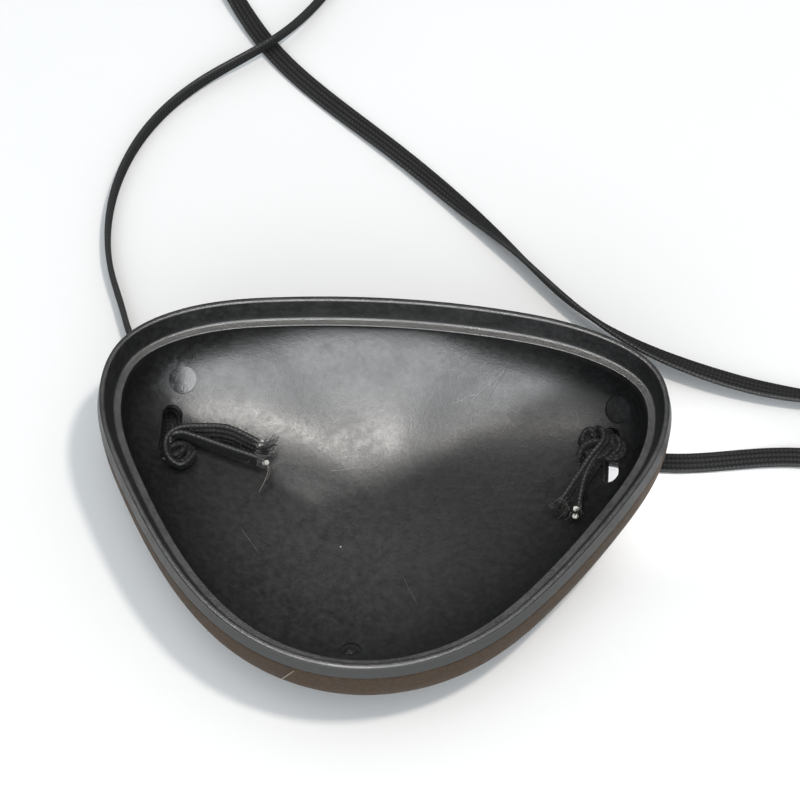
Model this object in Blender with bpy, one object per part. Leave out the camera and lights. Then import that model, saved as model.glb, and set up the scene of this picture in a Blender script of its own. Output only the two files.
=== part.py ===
"""Moulded eye patch on a flat braided elastic band.

The patch lies on its domed side with its cup facing up. Lengths are in metres and +Z is up.
X runs along the patch's long side and Y towards its flatter long edge. The origin is under
the middle of the patch, on the surface that it rests on.
"""
import math

import bmesh
import bpy
import numpy as np
from mathutils import Matrix, Vector

MM = 0.001

# --- Patch -------------------------------------------------------------------------------
# Outer edge of the lip, seen from above, anticlockwise from the middle of the flatter edge.
OUTLINE_MM = [(0, 29.2), (-16.5, 28.3), (-30.8, 25.2), (-39.0, 19.0), (-40.7, 10.5), (-36.2, -2.2),
              (-28.4, -14.9), (-17.5, -25.3), (-1.5, -29.8), (15.5, -24.6), (27.0, -13.4),
              (35.6, -1.2), (40.6, 10.0), (39.4, 19.2), (31.0, 25.2), (17.0, 28.3)]
RIM_TOP = 17.0 * MM             # height of the lip above the surface the patch lies on
LIP_WIDTH = 0.8 * MM            # flat top of the lip
INNER_WALL_DRAFT = 0.9 * MM     # how far the inner wall leans in
INNER_WALL_DEPTH = 3.6 * MM
LEDGE_WIDTH = 1.2 * MM          # flat shelf round the foot of the inner wall
GROOVE_DEPTH = 0.4 * MM         # small step down from the shelf to the dome
RIM_FLARE = 0.45 * MM           # the outer wall leans out below the lip
RIM_WALL_HEIGHT = 2.5 * MM
DOME_FULLNESS = 3.6             # exponent of the dome's section: 2 is an ellipse, more is boxier
BROW_FULLNESS = 2.5             # exponents of its open curve towards the flatter edge:
BROW_EDGE = 1.2                 # near the middle, and near the edge
BROW_FROM = 0.3                 # sine of the bearing where the open curve starts to take over
BROW_TO = 1.0                   # and where it has taken over
SHELL_THICKNESS = 1.3 * MM      # at the bottom of the cup
COVER_THICKNESS = 0.7 * MM
COVER_SETBACK = 0.05 * MM       # the cover's edge stands in from the rim band's foot
GAP = 0.3 * MM                  # clearance between pieces that lie on each other
SEGMENTS = 88                   # round the outline
DOME_STEPS = 11                 # from the rim to the middle of the dome

# --- Strap slots -------------------------------------------------------------------------
SLOT_WIDTH = 2.6 * MM
SLOT_LENGTH = 8.6 * MM
SLOT_X = {"left": -31.5 * MM, "right": 33.1 * MM}
SLOT_Y = {"left": 11.7 * MM, "right": 12.0 * MM}
# Which end of its slot each knot sits at: -1 is the end near the point of the patch.
KNOT_END = {"left": -1, "right": 1}
SLOT_CUT_HEIGHT = 16.0 * MM
SLOT_ARC_STEPS = 10

# --- Elastic -----------------------------------------------------------------------------
BAND_WIDTH = 3.2 * MM
BAND_THICKNESS = 0.9 * MM
BAND_CLEARANCE = 0.08 * MM      # above the surface, so that nothing dips below it
BAND_POINTS = 80
TAIL_POINTS = 9
CORE_RADIUS = 0.35 * MM
CORE_LENGTH = 0.9 * MM

# The band's route from the left slot to the right one: x, y, lift above the surface in mm,
# and tilt in degrees (0 lies flat, 90 stands on its edge).
BAND_ROUTE = [
    (-31.7, 10.8, 0.05, 0), (-32.0, 14.0, 0.0, 0), (-32.5, 17.4, 0.0, 6), (-33.9, 20.8, 0.0, 28),
    (-36.4, 24.4, 0.0, 62), (-39.3, 28.9, 0.0, 88), (-41.2, 33.8, 0.0, 90),
    (-43.7, 40.5, 0.0, 90), (-45.1, 48.5, 0.0, 90), (-44.4, 57.5, 0.0, 90),
    (-41.0, 66.8, 0.0, 88), (-33.0, 76.6, 0.2, 82), (-22.7, 84.2, 1.3, 76),
    (-16.4, 92.8, 0.2, 82), (-11.4, 104.0, 0.0, 90), (-10.6, 116.0, 0.0, 90),
    (-17.0, 125.4, 0.0, 90), (-27.4, 127.4, 0.0, 90), (-36.0, 120.8, 0.0, 88),
    (-37.4, 109.5, 0.0, 70), (-32.4, 98.2, 0.0, 30), (-22.9, 84.0, 0.0, 4),
    (-12.9, 74.6, 0.0, 0), (-1.2, 65.2, 0.0, 8), (10.3, 55.0, 0.0, 24), (18.4, 47.1, 0.3, 62),
    (25.0, 40.5, 0.5, 72), (31.5, 35.3, 0.9, 58), (38.5, 31.3, 1.4, 36), (46.0, 28.5, 1.5, 22),
    (53.5, 26.7, 1.1, 18), (61.0, 25.7, 0.6, 26), (72.0, 25.2, 0.2, 60), (84.0, 26.4, 0.0, 88),
    (94.0, 27.6, 0.0, 90), (102.0, 24.2, 0.0, 90), (104.4, 16.6, 0.0, 90),
    (99.4, 10.2, 0.0, 90), (90.0, 9.4, 0.0, 86), (78.0, 12.8, 0.0, 46), (69.0, 15.1, 0.0, 12),
    (61.0, 15.9, 0.0, 0), (52.0, 14.9, 0.0, 0), (42.5, 13.7, 0.0, 0), (36.6, 14.0, 0.0, 0),
    (32.8, 14.6, 0.1, 0)]

# --- Knots and cut ends ------------------------------------------------------------------
NECK_TOP = 2.2 * MM             # how far the flat neck reaches into the knot, from the cup's wall
NECK_INSET = 0.1 * MM           # the neck ends this far inside the cover's outer face
LOBE_SEGMENTS = 24
# Lobes of each knot: centre x, y in mm, and the lobe's diameter and height in mm.
KNOT_LOBES = {"left": [(-30.1, 8.5, 5.7, 3.9)],
              "right": [(30.9, 13.8, 4.4, 3.8), (33.4, 12.6, 4.2, 3.6)]}
# Centreline of each tail: x, y and height above the inside of the cup, in mm, and its tilt.
TAIL_ROUTES = {
    "left_tail_upper": [(-26.2, 10.5, 2.9, 82), (-22.4, 11.0, 3.0, 80), (-17.8, 10.0, 2.5, 76)],
    "left_tail_lower": [(-25.9, 9.1, 2.7, 98), (-22.3, 9.0, 2.8, 100), (-17.5, 6.8, 2.4, 104)],
    "right_tail_left": [(29.9, 10.7, 3.0, 84), (28.2, 6.4, 3.1, 82), (26.5, 1.7, 3.0, 80)],
    "right_tail_right": [(31.4, 9.9, 3.0, 96), (29.9, 5.6, 3.1, 98), (28.3, 1.0, 3.0, 100)]}

# Colour and roughness of each material.
FINISHES = {"shell": ((0.035, 0.035, 0.037), 0.38), "outer_cover": ((0.12, 0.075, 0.055), 0.6),
            "elastic": ((0.018, 0.018, 0.019), 0.8), "rubber_core": ((0.72, 0.70, 0.66), 0.55)}


# --- Scene and materials -----------------------------------------------------------------
def clear_scene():
    for item in list(bpy.data.objects):
        bpy.data.objects.remove(item, do_unlink=True)
    for group in list(bpy.data.collections):
        bpy.data.collections.remove(group)


def new_collection(name):
    group = bpy.data.collections.new(name)
    bpy.context.scene.collection.children.link(group)
    return group


def principled(name):
    colour, roughness = FINISHES[name]
    material = bpy.data.materials.new(name)
    material.use_nodes = True
    shader = material.node_tree.nodes["Principled BSDF"]
    shader.inputs["Base Color"].default_value = (*colour, 1.0)
    shader.inputs["Roughness"].default_value = roughness
    shader.inputs["Metallic"].default_value = 0.0
    return material


def add_object(name, data, group, material=None):
    item = bpy.data.objects.new(name, data)
    group.objects.link(item)
    if material:
        data.materials.append(material)
    return item


def mesh_from_bmesh(name, bm):
    bmesh.ops.recalc_face_normals(bm, faces=bm.faces)
    mesh = bpy.data.meshes.new(name)
    bm.to_mesh(mesh)
    bm.free()
    mesh.shade_smooth()
    mesh.set_sharp_from_angle(angle=math.radians(35))
    return mesh


def cut(target, cutter):
    boolean = target.modifiers.new("cut_" + cutter.name, "BOOLEAN")
    boolean.operation = "DIFFERENCE"
    boolean.object = cutter


def as_cutter(item):
    item.hide_render = True
    item.display_type = "WIRE"
    return item


# --- Outline and dome --------------------------------------------------------------------
def spline_second_derivatives(points, steps, closed):
    """Second derivatives of the cubic spline with continuous curvature through the points."""
    count = len(points)
    system = np.eye(count)
    right = np.zeros_like(points)
    for i in range(0 if closed else 1, count if closed else count - 1):
        before, after = steps[i - 1], steps[i]
        following = (i + 1) % count
        system[i] = 0
        system[i, i - 1] += before / 6
        system[i, i] += (before + after) / 3
        system[i, following] += after / 6
        right[i] = (points[following] - points[i]) / after - (points[i] - points[i - 1]) / before
    return np.linalg.solve(system, right)


def smooth_curve(points, count, closed=False, fine=24):
    """count points, evenly spaced along the smooth curve through the given points.

    A fourth column, such as a tilt, is carried along and doesn't count as distance.
    """
    points = np.array(points, dtype=float)
    ahead = np.roll(points, -1, axis=0)
    spans = len(points) if closed else len(points) - 1
    steps = np.linalg.norm((ahead - points)[:, :3], axis=1)
    bends = spline_second_derivatives(points, steps, closed)
    dense = []
    for i in range(spans):
        j = (i + 1) % len(points)
        for part in range(fine):
            b = part / fine
            a = 1 - b
            square = steps[i] ** 2 / 6
            dense.append(a * points[i] + b * points[j]
                         + ((a ** 3 - a) * bends[i] + (b ** 3 - b) * bends[j]) * square)
    dense.append(points[0] if closed else points[-1])
    dense = np.array(dense)
    hops = np.linalg.norm(np.diff(dense[:, :3], axis=0), axis=1)
    travel = np.concatenate([[0], np.cumsum(hops)])
    wanted = np.linspace(0, travel[-1], count + 1 if closed else count)
    even = np.stack([np.interp(wanted, travel, column) for column in dense.T], axis=1)
    return even[:-1] if closed else even


def lip_outline():
    """The lip's outer edge as points round the origin, centred on its own box."""
    ring = smooth_curve(OUTLINE_MM, SEGMENTS, closed=True) * MM
    return ring - (ring.max(axis=0) + ring.min(axis=0)) / 2


def area_centre(ring):
    ahead = np.roll(ring, -1, axis=0)
    cross = ring[:, 0] * ahead[:, 1] - ahead[:, 0] * ring[:, 1]
    return ((ring + ahead) * cross[:, None]).sum(axis=0) / (3 * cross.sum())


def offset_ring(ring, distance):
    """The ring moved outward by distance, along its own normals."""
    along = np.roll(ring, -1, axis=0) - np.roll(ring, 1, axis=0)
    along /= np.linalg.norm(along, axis=1)[:, None]
    outward = np.stack([along[:, 1], -along[:, 0]], axis=1)
    return ring + outward * distance


LIP = lip_outline()
DOME_CENTRE = area_centre(LIP)
WALL_FOOT = -(LIP_WIDTH + INNER_WALL_DRAFT)
CUP_EDGE = WALL_FOOT - LEDGE_WIDTH
LEDGE_Z = RIM_TOP - INNER_WALL_DEPTH
# Each dome: offset of its edge from the lip, height of that edge, height of its middle.
CUP = (CUP_EDGE, LEDGE_Z - GROOVE_DEPTH, COVER_THICKNESS + GAP + SHELL_THICKNESS)
SHELL_BACK = (RIM_FLARE - COVER_THICKNESS - GAP, RIM_TOP - RIM_WALL_HEIGHT, COVER_THICKNESS + GAP)
COVER_TOP = RIM_TOP - RIM_WALL_HEIGHT - GAP
COVER_FRONT = (RIM_FLARE - COVER_SETBACK, COVER_TOP, 0.0)
COVER_BACK = (COVER_FRONT[0] - COVER_THICKNESS, COVER_TOP, COVER_THICKNESS)


def level_ring(offset, height):
    ring = offset_ring(LIP, offset)
    return np.column_stack([ring, np.full(len(ring), height)])


def dome_depth(share, bearing):
    """Share of the dome's depth reached at a share of the way from its middle to its edge.

    The section is boxy towards the point and the two ends, and open towards the flatter edge.
    """
    open_share = np.clip((np.sin(bearing) - BROW_FROM) / (BROW_TO - BROW_FROM), 0, 1)
    open_share = open_share ** 2 * (3 - 2 * open_share)
    inner = DOME_FULLNESS + (BROW_FULLNESS - DOME_FULLNESS) * open_share
    outer = DOME_FULLNESS + (BROW_EDGE - DOME_FULLNESS) * open_share
    return (1 - share ** inner) ** (1 / outer)


def dome_rings(dome):
    """Rings from the dome's edge in towards its middle, which is left out."""
    offset, top, bottom = dome
    spokes = offset_ring(LIP, offset) - DOME_CENTRE
    bearings = np.arctan2(spokes[:, 1], spokes[:, 0])
    rings = []
    for step in range(DOME_STEPS):
        share = math.cos(math.pi / 2 * step / DOME_STEPS) ** (2 / DOME_FULLNESS)
        heights = top - (top - bottom) * dome_depth(share, bearings)
        rings.append(np.column_stack([DOME_CENTRE + spokes * share, heights]))
    return rings


def dome_height(x, y, dome):
    """Height of a dome above the resting surface at x, y."""
    offset, top, bottom = dome
    spokes = offset_ring(LIP, offset) - DOME_CENTRE
    bearings = np.unwrap(np.arctan2(spokes[:, 1], spokes[:, 0]))
    away = np.array([x, y]) - DOME_CENTRE
    bearing = math.atan2(away[1], away[0])
    while bearing < bearings[0]:
        bearing += 2 * math.pi
    reach = np.interp(bearing, np.append(bearings, bearings[0] + 2 * math.pi),
                      np.append(np.linalg.norm(spokes, axis=1), np.linalg.norm(spokes[0])))
    share = min(np.linalg.norm(away) / reach, 1.0)
    return top - (top - bottom) * dome_depth(share, bearing)


def lofted_body(name, rings, first_middle, last_middle):
    """A closed body through the rings, with each end drawn in to a middle point."""
    bm = bmesh.new()
    loops = [[bm.verts.new(point) for point in ring] for ring in rings]
    count = len(rings[0])
    for low, high in zip(loops, loops[1:]):
        for i in range(count):
            j = (i + 1) % count
            bm.faces.new((low[i], low[j], high[j], high[i]))
    for loop, middle in ((loops[0], first_middle), (loops[-1], last_middle)):
        tip = bm.verts.new(middle)
        for i in range(count):
            bm.faces.new((loop[i], loop[(i + 1) % count], tip))
    return mesh_from_bmesh(name, bm)


# --- Patch pieces ------------------------------------------------------------------------
def make_shell(group, material):
    """Black moulded cup: domed wall, drafted rim band, flat lip, inner wall and shelf."""
    rings = dome_rings(SHELL_BACK)[::-1]
    rings += [level_ring(RIM_FLARE, RIM_TOP - RIM_WALL_HEIGHT), level_ring(0, RIM_TOP),
              level_ring(-LIP_WIDTH, RIM_TOP), level_ring(WALL_FOOT, LEDGE_Z),
              level_ring(CUP_EDGE, LEDGE_Z)]
    rings += dome_rings(CUP)
    back = (*DOME_CENTRE, SHELL_BACK[2])
    front = (*DOME_CENTRE, CUP[2])
    return add_object("shell", lofted_body("shell", rings, back, front), group, material)


def make_cover(group, material):
    """Brown facing on the convex side, up to the rim band."""
    rings = dome_rings(COVER_FRONT)[::-1] + dome_rings(COVER_BACK)
    front = (*DOME_CENTRE, COVER_FRONT[2])
    back = (*DOME_CENTRE, COVER_BACK[2])
    return add_object("outer_cover", lofted_body("outer_cover", rings, front, back), group, material)


def cup_point(x, y):
    return Vector((x, y, dome_height(x, y, CUP)))


def slot_frame(side):
    """Matrix at the middle of a slot: local Y along the slot, local Z out of the cup's wall."""
    x, y = SLOT_X[side], SLOT_Y[side]
    half = SLOT_LENGTH / 2
    along = (cup_point(x, y + half) - cup_point(x, y - half)).normalized()
    across = cup_point(x + half, y) - cup_point(x - half, y)
    outward = across.cross(along).normalized()
    across = along.cross(outward)
    frame = Matrix((across, along, outward)).transposed().to_4x4()
    frame.translation = cup_point(x, y)
    return frame


def make_slot_cutter(side, group):
    """Prism with round ends, square to the wall of the cup."""
    bm = bmesh.new()
    radius = SLOT_WIDTH / 2
    middle = SLOT_LENGTH / 2 - radius
    corners = []
    for end in (1, -1):
        for step in range(SLOT_ARC_STEPS + 1):
            angle = math.pi * step / SLOT_ARC_STEPS
            corners.append(bm.verts.new((end * radius * math.cos(angle),
                                         end * (middle + radius * math.sin(angle)),
                                         -SLOT_CUT_HEIGHT / 2)))
    face = bm.faces.new(corners)
    grown = bmesh.ops.extrude_face_region(bm, geom=[face])
    top = [item for item in grown["geom"] if isinstance(item, bmesh.types.BMVert)]
    bmesh.ops.translate(bm, verts=top, vec=(0, 0, SLOT_CUT_HEIGHT))
    cutter = add_object("cutter_slot_" + side, mesh_from_bmesh("slot", bm), group)
    cutter.matrix_world = slot_frame(side)
    return as_cutter(cutter)


# --- Elastic pieces ----------------------------------------------------------------------
def make_band_profile(group):
    """Flat section with rounded sides, used as the bevel of every length of elastic."""
    curve = bpy.data.curves.new("band_profile", "CURVE")
    curve.dimensions = "2D"
    curve.fill_mode = "NONE"
    spline = curve.splines.new("POLY")
    side = BAND_WIDTH / 2
    half = BAND_THICKNESS / 2
    shoulder = side - half * 0.7
    corners = [(side, 0), (shoulder, -half), (-shoulder, -half), (-side, 0),
               (-shoulder, half), (shoulder, half)]
    spline.points.add(len(corners) - 1)
    for point, (x, y) in zip(spline.points, corners):
        point.co = (x, y, 0, 1)
    spline.use_cyclic_u = True
    return as_cutter(add_object("guide_band_profile", curve, group))


def make_elastic(name, route, profile, group, material):
    """A length of band along route points of x, y, z and tilt in degrees."""
    curve = bpy.data.curves.new(name, "CURVE")
    curve.dimensions = "3D"
    curve.twist_mode = "Z_UP"
    curve.bevel_mode = "OBJECT"
    curve.bevel_object = profile
    curve.use_fill_caps = True
    spline = curve.splines.new("POLY")
    spline.points.add(len(route) - 1)
    for point, (x, y, z, tilt) in zip(spline.points, route):
        point.co = (x, y, z, 1)
        point.tilt = math.radians(tilt)
    return add_object(name, curve, group, material)


def resting_height(lift, tilt):
    """Height of the band's centreline over the surface, so that its lower edge just clears it."""
    turn = math.radians(tilt)
    reach = BAND_WIDTH / 2 * abs(math.sin(turn)) + BAND_THICKNESS / 2 * abs(math.cos(turn))
    return reach + BAND_CLEARANCE + lift


def make_band(profile, group, material):
    route = [(x * MM, y * MM, resting_height(lift * MM, tilt), tilt)
             for x, y, lift, tilt in BAND_ROUTE]
    path = smooth_curve(route, BAND_POINTS)
    return make_elastic("elastic_band", path, profile, group, material)


def tail_path(name):
    route = [(x * MM, y * MM, dome_height(x * MM, y * MM, CUP) + height * MM, tilt)
             for x, y, height, tilt in TAIL_ROUTES[name]]
    return smooth_curve(route, TAIL_POINTS)


def make_core(tail_name, group, material):
    """Rubber core that stands out of a tail's cut end."""
    path = tail_path(tail_name)
    end = Vector(path[-1, :3])
    direction = (end - Vector(path[-2, :3])).normalized()
    bm = bmesh.new()
    bmesh.ops.create_cone(bm, cap_ends=True, segments=12, radius1=CORE_RADIUS,
                          radius2=CORE_RADIUS * 0.8, depth=CORE_LENGTH)
    name = tail_name.replace("tail", "core")
    core = add_object(name, mesh_from_bmesh(name, bm), group, material)
    turn = Vector((0, 0, 1)).rotation_difference(direction)
    core.matrix_world = (Matrix.Translation(end + direction * (GAP + CORE_LENGTH / 2))
                         @ turn.to_matrix().to_4x4())
    return core


def knot_anchor(side):
    """Point on the cup's wall where the band passes through its slot."""
    slack = SLOT_LENGTH / 2 - BAND_WIDTH / 2 - GAP / 2
    return slot_frame(side) @ Vector((0, KNOT_END[side] * slack, 0))


def make_knot(side, group, material):
    """Stopper knot: one or two pressed lobes, and the flat neck that goes through the slot."""
    frame = slot_frame(side)
    anchor = knot_anchor(side)
    turn = frame.to_3x3()
    inverse = turn.inverted()
    bm = bmesh.new()
    for x, y, diameter, height in KNOT_LOBES[side]:
        ground = cup_point(x * MM, y * MM)
        made = bmesh.ops.create_uvsphere(bm, u_segments=LOBE_SEGMENTS,
                                         v_segments=LOBE_SEGMENTS // 2, radius=0.5)
        bmesh.ops.scale(bm, verts=made["verts"], vec=(diameter * MM, diameter * MM, height * MM))
        lift = Vector((0, 0, height * MM / 2 + GAP))
        bmesh.ops.translate(bm, verts=made["verts"], vec=inverse @ (ground - anchor) + lift)
    knot = add_object(side + "_knot", mesh_from_bmesh(side + "_knot", bm), group, material)
    knot.matrix_world = Matrix.Translation(anchor) @ turn.to_4x4()
    return knot


def make_neck(side, group):
    """The band's flat neck from inside the knot down through the slot."""
    anchor = knot_anchor(side)
    turn = slot_frame(side).to_3x3()
    below = dome_height(anchor.x, anchor.y, COVER_FRONT) - anchor.z
    low = below + NECK_INSET
    bm = bmesh.new()
    bmesh.ops.create_cube(bm, size=1.0)
    bmesh.ops.scale(bm, verts=bm.verts, vec=(BAND_THICKNESS, BAND_WIDTH, NECK_TOP - low))
    bmesh.ops.translate(bm, verts=bm.verts, vec=(0, 0, (NECK_TOP + low) / 2))
    neck = add_object(f"joined_{side}_neck", mesh_from_bmesh("neck", bm), group)
    neck.matrix_world = Matrix.Translation(anchor) @ turn.to_4x4()
    return as_cutter(neck)


def join_neck(knot, neck):
    union = knot.modifiers.new("neck", "BOOLEAN")
    union.operation = "UNION"
    union.use_self = True
    union.object = neck


def main():
    clear_scene()
    parts = new_collection("eye_patch")
    helpers = new_collection("cutters")
    fabric = principled("elastic")
    rubber = principled("rubber_core")

    shell = make_shell(parts, principled("shell"))
    cover = make_cover(parts, principled("outer_cover"))
    for side in ("left", "right"):
        cutter = make_slot_cutter(side, helpers)
        cut(shell, cutter)
        cut(cover, cutter)

    profile = make_band_profile(helpers)
    make_band(profile, parts, fabric)
    for side in ("left", "right"):
        join_neck(make_knot(side, parts, fabric), make_neck(side, helpers))
    for name in TAIL_ROUTES:
        make_elastic(name, tail_path(name), profile, parts, fabric)
        make_core(name, parts, rubber)


main()
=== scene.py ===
"""Looks of a moulded eye patch on a flat braided elastic band.

The patch lies on its domed side with its cup facing up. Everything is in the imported
model's frame: metres, +Z up, with the floor at z = 0. Shapes below are given in mm.
"""
import math
import random

import bmesh
import bpy
import numpy as np
from mathutils import Matrix, Vector


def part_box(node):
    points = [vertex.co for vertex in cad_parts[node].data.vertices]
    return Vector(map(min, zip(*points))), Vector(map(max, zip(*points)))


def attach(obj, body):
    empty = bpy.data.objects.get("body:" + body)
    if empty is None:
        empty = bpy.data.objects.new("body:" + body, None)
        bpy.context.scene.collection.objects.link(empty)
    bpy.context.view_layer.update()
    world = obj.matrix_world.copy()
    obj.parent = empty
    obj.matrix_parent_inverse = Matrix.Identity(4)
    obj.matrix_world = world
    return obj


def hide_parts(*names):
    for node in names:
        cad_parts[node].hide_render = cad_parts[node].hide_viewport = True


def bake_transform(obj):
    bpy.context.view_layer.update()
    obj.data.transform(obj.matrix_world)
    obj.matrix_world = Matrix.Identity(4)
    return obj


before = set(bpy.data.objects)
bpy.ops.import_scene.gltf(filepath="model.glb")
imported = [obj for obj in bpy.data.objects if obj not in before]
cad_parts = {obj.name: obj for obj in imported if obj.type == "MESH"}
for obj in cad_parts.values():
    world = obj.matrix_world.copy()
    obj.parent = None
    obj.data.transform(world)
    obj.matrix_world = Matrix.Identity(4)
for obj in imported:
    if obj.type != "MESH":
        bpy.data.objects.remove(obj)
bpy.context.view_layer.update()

MM = 0.001

# --- Camera ---
RIM_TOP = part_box("shell")[1].z / MM
CAMERA_TARGET = (2.29, 12.55, RIM_TOP)
CAMERA_ELEVATION = 61.0
CAMERA_AZIMUTH = 3.8
CAMERA_DISTANCE = 420.0
CAMERA_LENS = 132.3  # mm, on a 36 mm sensor

# --- Patch ---
# The sizes are the CAD model's, but BROW_BEARING is turned by 5 degrees, and the slots'
# chamfer and the roundings are only here.
# Outer edge of the lip, seen from above, anticlockwise from the middle of the flatter edge.
OUTLINE = [
    (0, 29.2), (-16.5, 28.3), (-30.8, 25.2), (-39.0, 19.0), (-40.7, 10.5), (-36.2, -2.2), (-28.4, -14.9),
    (-17.5, -25.3), (-1.5, -29.8), (15.5, -24.6), (27.0, -13.4), (35.6, -1.2), (40.6, 10.0), (39.4, 19.2),
    (31.0, 25.2), (17.0, 28.3)]
SEGMENTS = 384  # round the outline
DOME_STEPS = 48  # from the rim to the middle of a dome
DOME_FULLNESS = 3.6  # exponent of the dome's section: 2 is an ellipse
BROW_FULLNESS = 2.5  # exponents of its open curve towards the flatter edge:
BROW_EDGE = 1.2  # near the middle, and near the edge
BROW_BEARING = math.radians(95)  # the way the open curve faces, from +X
BROW_FROM = 0.3  # cosine of the turn from that bearing where it starts to take over
LIP_WIDTH = 0.8
WALL_FOOT = -1.7  # offset of the inner wall's foot from the lip's outer edge
LEDGE_Z = RIM_TOP - 3.6
CUP_EDGE = -2.9
GROOVE_DEPTH = 0.4  # small step down from the ledge to the cup
RIM_FLARE = 0.45
RIM_FOOT_Z = RIM_TOP - 2.5
COVER_TOP = RIM_FOOT_Z - 0.3
COVER_EDGE = 0.4
COVER_THICKNESS = 0.7
COVER_ROUNDING = 0.15
# Each dome: offset of its edge from the lip, height of that edge, height of its middle.
CUP = (CUP_EDGE, LEDGE_Z - GROOVE_DEPTH, 2.3)
SHELL_BACK = (-0.55, RIM_FOOT_Z, 1.0)
COVER_FRONT = (COVER_EDGE, COVER_TOP - COVER_ROUNDING, 0.0)
COVER_BACK = (COVER_EDGE - COVER_THICKNESS, COVER_TOP, COVER_THICKNESS)

SLOT_WIDTH = 2.6
SLOT_LENGTH = 8.6
SLOTS = {"left": (-31.5, 11.7), "right": (33.1, 12.0)}
SLOT_CHAMFER = 0.22
SLOT_ARC_STEPS = 24  # round each end of a slot
CUTTER_REACH = 8  # of a slot's cutter, to either side of the wall
MARK_RADIUS = 2.1
MARK_RINGS = 8
MARK_SEGMENTS = 64
MARK_REACH = 3  # of a mark's cutter, into the cup

# --- Elastic ---
BAND_WIDTH = 3.2
BAND_THICKNESS = 0.9
BAND_CLEARANCE = 0.08
BAND_RINGS = 1000
NECK_RINGS = 120
TAIL_RINGS = 220
FOLD_RINGS = 90
COIL_RINGS = 60
RIBS = 4
RIB_STEPS = 7  # points across each rib
RIB_GROOVE = 0.34  # share of the thickness that the grooves between ribs take
SELVEDGE_FALL = 0.1  # and that the outer ribs lose towards their edge
# The band's route from the left slot to the right one: x, y, lift above the floor in mm,
# and tilt in degrees (0 lies flat, 90 stands on its edge).
BAND_ROUTE = [
    (-31.7, 10.8, 0.05, 0), (-32.0, 14.0, 0.0, 0), (-32.5, 17.4, 0.0, 6), (-33.9, 20.8, 0.0, 28),
    (-36.4, 24.4, 0.0, 62), (-39.3, 28.9, 0.0, 88), (-41.2, 33.8, 0.0, 90), (-43.7, 40.5, 0.0, 90),
    (-45.1, 48.5, 0.0, 90), (-44.4, 57.5, 0.0, 90), (-41.0, 66.8, 0.0, 88), (-33.0, 76.6, 0.2, 82),
    (-22.7, 84.2, 1.3, 76), (-16.4, 92.8, 0.2, 82), (-11.4, 104.0, 0.0, 90), (-10.6, 116.0, 0.0, 90),
    (-17.0, 125.4, 0.0, 90), (-27.4, 127.4, 0.0, 90), (-36.0, 120.8, 0.0, 88), (-37.4, 109.5, 0.0, 70),
    (-32.4, 98.2, 0.0, 30), (-22.9, 84.0, 0.0, 4), (-12.9, 74.6, 0.0, 0), (-1.2, 65.2, 0.0, 8),
    (10.3, 55.0, 0.0, 24), (18.4, 47.1, 0.3, 62), (25.0, 40.5, 0.5, 72), (31.5, 35.3, 0.9, 58),
    (38.5, 31.3, 1.4, 36), (46.0, 28.5, 1.5, 22), (53.5, 26.7, 1.1, 18), (61.0, 25.7, 0.6, 26),
    (72.0, 25.2, 0.2, 60), (84.0, 26.4, 0.0, 88), (94.0, 27.6, 0.0, 90), (102.0, 24.2, 0.0, 90),
    (104.4, 16.6, 0.0, 90), (99.4, 10.2, 0.0, 90), (90.0, 9.4, 0.0, 86), (78.0, 12.8, 0.0, 46),
    (69.0, 15.1, 0.0, 12), (61.0, 15.9, 0.0, 0), (52.0, 14.9, 0.0, 0), (42.5, 13.7, 0.0, 0),
    (36.6, 14.0, 0.0, 0), (32.8, 14.6, 0.1, 0)]
# The band's flat necks, from its two ends up through the slots: x, y, height in mm.
NECKS = {
    "left": [(-31.9, 12.6, 0.55), (-31.7, 10.8, 0.58), (-31.55, 9.7, 0.95), (-31.5, 9.2, 2.1),
        (-31.5, 9.15, 3.6), (-31.4, 9.1, 5.0), (-31.0, 8.9, 5.9)],
    "right": [(35.0, 14.35, 0.58), (33.7, 14.5, 0.6), (32.9, 14.6, 1.05), (32.9, 14.6, 2.4),
        (33.1, 14.55, 4.2), (33.0, 14.4, 5.4), (32.5, 14.0, 6.2)]}
NECK_TWIST = {"left": 90, "right": 0}  # degrees that each neck twists by on its way up
NECK_BEND = (0.8, 2.2)  # heights between which it twists

# The tied strips: x, y, height of the strip's upper edge in mm, and its tilt in degrees.
LEFT_FAR_STRIP = [
    (-27.2, 7.9, 6.7, 100), (-28.0, 6.3, 6.9, 108), (-29.2, 5.4, 7.0, 112), (-30.5, 5.9, 7.1, 112),
    (-31.4, 7.0, 7.2, 112), (-31.8, 8.4, 7.2, 110), (-31.7, 9.7, 7.3, 108), (-30.9, 10.9, 7.4, 104),
    (-29.3, 11.7, 7.4, 106), (-27.0, 12.1, 7.3, 116), (-25.1, 12.3, 7.2, 119), (-23.1, 12.2, 7.2, 119),
    (-21.1, 11.6, 7.1, 118), (-19.8, 11.0, 7.0, 116), (-18.2, 10.3, 6.9, 114)]
LEFT_NEAR_STRIP = [
    (-31.0, 9.0, 6.6, 88), (-30.9, 10.0, 7.3, 86), (-29.8, 10.5, 7.6, 86), (-28.2, 10.25, 7.6, 86),
    (-26.2, 9.7, 7.5, 85), (-24.2, 9.15, 7.3, 85), (-20.8, 8.2, 7.1, 86), (-18.1, 7.5, 6.9, 88)]
LEFT_FOLDS = {
    "outer": [(-31.5, 8.5, 6.0, 90), (-30.5, 8.8, 6.6, 84), (-29.6, 9.1, 6.7, 90), (-28.8, 8.6, 6.8, 100),
        (-29.1, 7.9, 6.9, 96), (-29.9, 7.4, 6.8, 84), (-30.9, 7.2, 6.3, 80)],
    "inner": [(-30.5, 6.5, 6.0, 84), (-29.4, 6.3, 6.4, 86), (-28.5, 6.8, 6.6, 96), (-28.2, 7.7, 6.7, 100),
        (-28.2, 8.7, 6.4, 96)]}
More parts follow.
